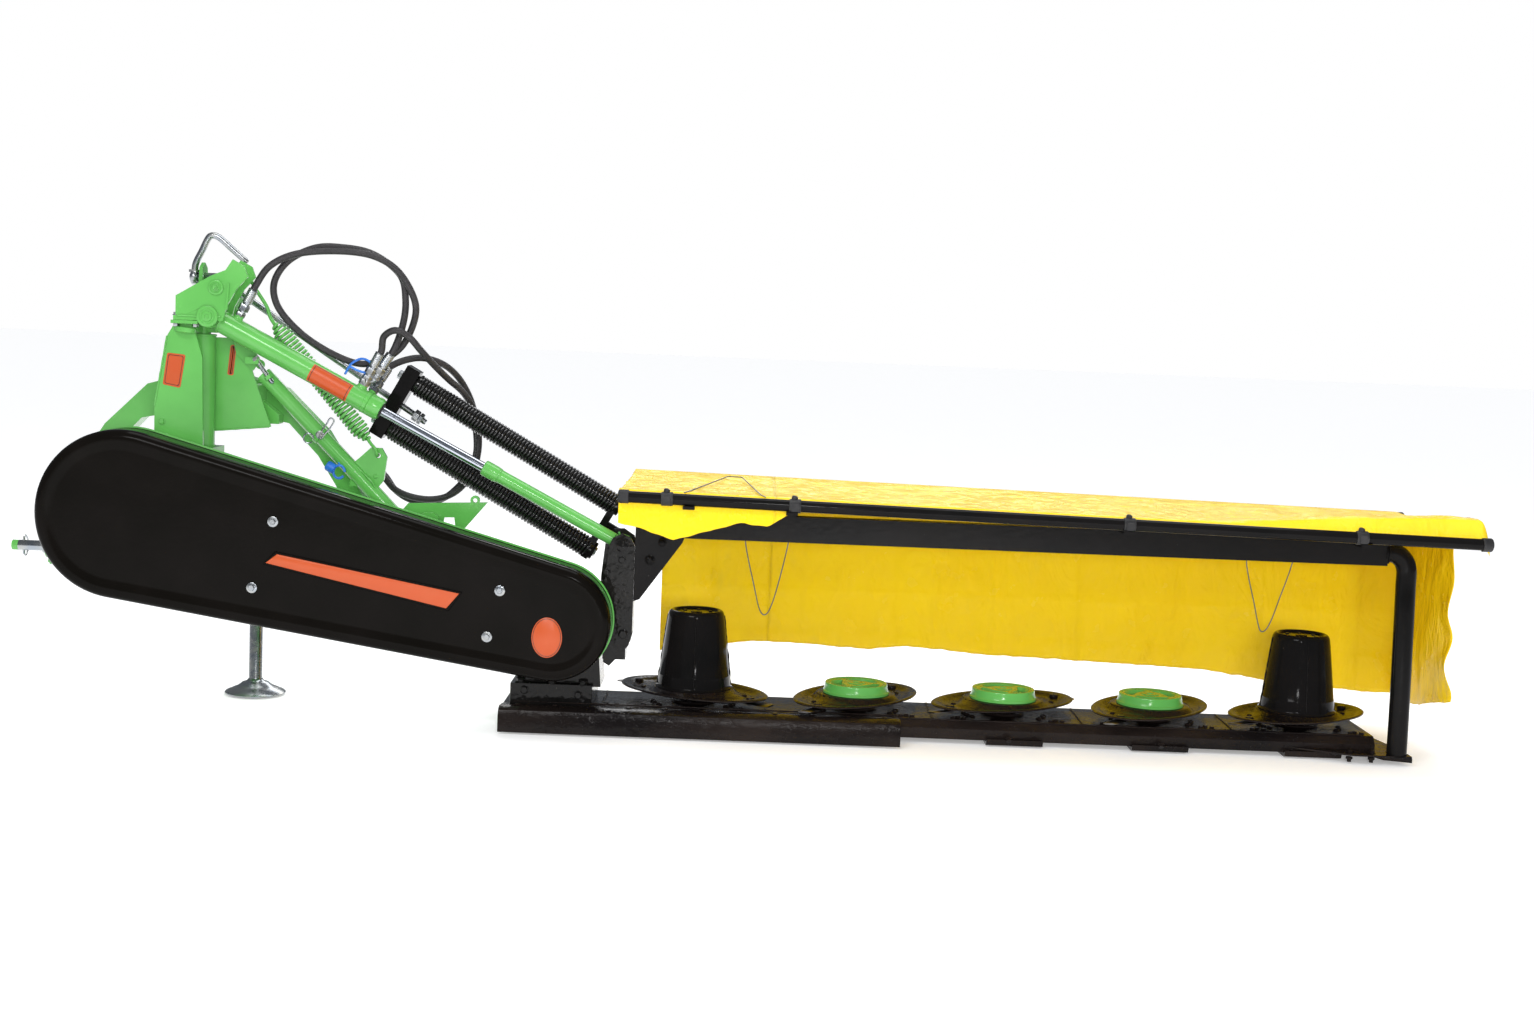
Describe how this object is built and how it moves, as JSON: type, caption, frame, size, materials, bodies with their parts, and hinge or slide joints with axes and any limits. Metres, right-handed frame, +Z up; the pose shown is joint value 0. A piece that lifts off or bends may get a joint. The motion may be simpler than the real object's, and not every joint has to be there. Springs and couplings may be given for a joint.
{
  "type": "disc mower",
  "caption": "Rear-mounted disc mower: hitch frame with swing post, belt drive, lift cylinder, float springs, low cutter bar with oval discs and drums, and a cloth canopy on hoops.",
  "frame": {"origin": "middle of the machine's box on the ground, hoses left out", "axes": "+X along the cutter bar to its outer end, +Y toward the tractor, +Z up"},
  "size_m": [3.896, 0.7286, 1.2718],
  "materials": {
    "green_paint": "gloss",
    "black_paint": "gloss",
    "zinc_plate": "zinc plated",
    "machined_steel": "machined",
    "chrome_rod": "polished",
    "rubber_sleeve": "satin",
    "coated_cloth": "coated satin",
    "hose_rubber": "satin"
  },
  "bodies": {
    "headstock": {"hitch_frame": "green_paint", "mast_frame": "green_paint", "top_link_pin": "zinc_plate"},
    "stand": {"parking_stand": "zinc_plate"},
    "swing": {"pivot_post": "green_paint", "swivel_head": "green_paint", "carrier_arm": "green_paint", "belt_guard": "black_paint", "brace_strut": "green_paint", "breakaway_spring": "green_paint"},
    "hook": {"transport_hook": "green_paint"},
    "drive": {"input_shaft": "machined_steel"},
    "barrel": {"cylinder_barrel": "green_paint", "hose_loop": "hose_rubber", "hose_line_1": "hose_rubber", "hose_line_2": "hose_rubber"},
    "rod": {"cylinder_rod": "chrome_rod", "rod_extension": "green_paint"},
    "float_link": {"float_rod": "zinc_plate"},
    "float_unit": {"spring_hanger": "black_paint", "float_spring_upper": "rubber_sleeve", "float_spring_lower": "rubber_sleeve", "spring_yoke": "black_paint"},
    "bar": {"bevel_gearbox": "black_paint", "lift_lever": "black_paint", "cutter_bar": "black_paint", "rear_lip": "black_paint", "skid_shoe_1": "black_paint", "skid_shoe_2": "black_paint", "skid_shoe_3": "black_paint", "skid_shoe_4": "black_paint", "outer_shoe": "black_paint", "canopy_frame": "black_paint", "canopy_leg": "black_paint", "canopy_rear_tube": "black_paint", "canopy_front_tube": "black_paint", "canopy_sheet": "coated_cloth"},
    "disc_unit_1": {"disc_1": "black_paint", "drum_inner": "black_paint"},
    "disc_unit_2": {"disc_2": "black_paint", "disc_cap_1": "green_paint"},
    "disc_unit_3": {"disc_3": "black_paint", "disc_cap_2": "green_paint"},
    "disc_unit_4": {"disc_4": "black_paint", "disc_cap_3": "green_paint"},
    "disc_unit_5": {"disc_5": "black_paint", "drum_outer": "black_paint"}
  },
  "joints": [
    {"name": "breakaway_swing", "type": "hinge", "parent": "headstock", "child": "swing", "pos_m": [-1.39001, -0.05, 0.85], "axis": [0, 0, -1], "range_deg": [0, 20]},
    {"name": "stand_slide", "type": "slide", "parent": "headstock", "child": "stand", "axis": [0, 0, 1], "range_m": [0, 0.25]},
    {"name": "bar_lift", "type": "hinge", "parent": "swing", "child": "bar", "pos_m": [-0.42501, 0, 0.3], "axis": [0, -1, 0], "range_deg": [-10, 88], "deforming": ["canopy_sheet"]},
    {"name": "hook_swing", "type": "hinge", "parent": "swing", "child": "hook", "pos_m": [-0.78801, -0.01, 0.52], "axis": [0, -1, 0], "range_deg": [0, 30]},
    {"name": "input_spin", "type": "hinge", "parent": "swing", "child": "drive", "pos_m": [-1.53201, 0, 0.537], "axis": [0, 1, 0], "continuous": true},
    {"name": "barrel_tilt", "type": "hinge", "parent": "swing", "child": "barrel", "pos_m": [-1.35201, -0.105, 1.047], "axis": [0, 1, 0], "range_deg": [-1.62, 11.17], "deforming": ["hose_line_1", "hose_line_2", "hose_loop"]},
    {"name": "rod_slide", "type": "slide", "parent": "barrel", "child": "rod", "axis": [-0.8906, 0, 0.4547], "range_m": [-0.0354, 0.2877]},
    {"name": "float_tilt", "type": "hinge", "parent": "swing", "child": "float_link", "pos_m": [-1.33101, 0.032, 1.122], "axis": [0, 1, 0], "range_deg": [-1.88, 13.46]},
    {"name": "float_slide", "type": "slide", "parent": "float_link", "child": "float_unit", "axis": [-0.8385, 0, 0.5449], "range_m": [-0.0298, 0.239]},
    {"name": "disc_spin_1", "type": "hinge", "parent": "bar", "child": "disc_unit_1", "pos_m": [-0.06301, 0, 0.08], "axis": [0, 0, 1], "continuous": true},
    {"name": "disc_spin_2", "type": "hinge", "parent": "bar", "child": "disc_unit_2", "pos_m": [0.37699, 0, 0.08], "axis": [0, 0, 1], "continuous": true},
    {"name": "disc_spin_3", "type": "hinge", "parent": "bar", "child": "disc_unit_3", "pos_m": [0.77699, 0, 0.08], "axis": [0, 0, 1], "continuous": true},
    {"name": "disc_spin_4", "type": "hinge", "parent": "bar", "child": "disc_unit_4", "pos_m": [1.17699, 0, 0.08], "axis": [0, 0, 1], "continuous": true},
    {"name": "disc_spin_5", "type": "hinge", "parent": "bar", "child": "disc_unit_5", "pos_m": [1.57699, 0, 0.08], "axis": [0, 0, 1], "continuous": true}
  ],
  "couplings": [
    {"joint": "barrel_tilt", "follows": "bar_lift", "ratio": 0.12235},
    {"joint": "rod_slide", "follows": "bar_lift", "m_per_rad": 0.18535},
    {"joint": "float_tilt", "follows": "bar_lift", "ratio": 0.14841},
    {"joint": "float_slide", "follows": "bar_lift", "m_per_rad": 0.15366},
    {"joint": "disc_spin_1", "follows": "input_spin", "ratio": 5.5},
    {"joint": "disc_spin_2", "follows": "input_spin", "ratio": 5.5},
    {"joint": "disc_spin_3", "follows": "input_spin", "ratio": -5.5},
    {"joint": "disc_spin_4", "follows": "input_spin", "ratio": 5.5},
    {"joint": "disc_spin_5", "follows": "input_spin", "ratio": -5.5}
  ]
}
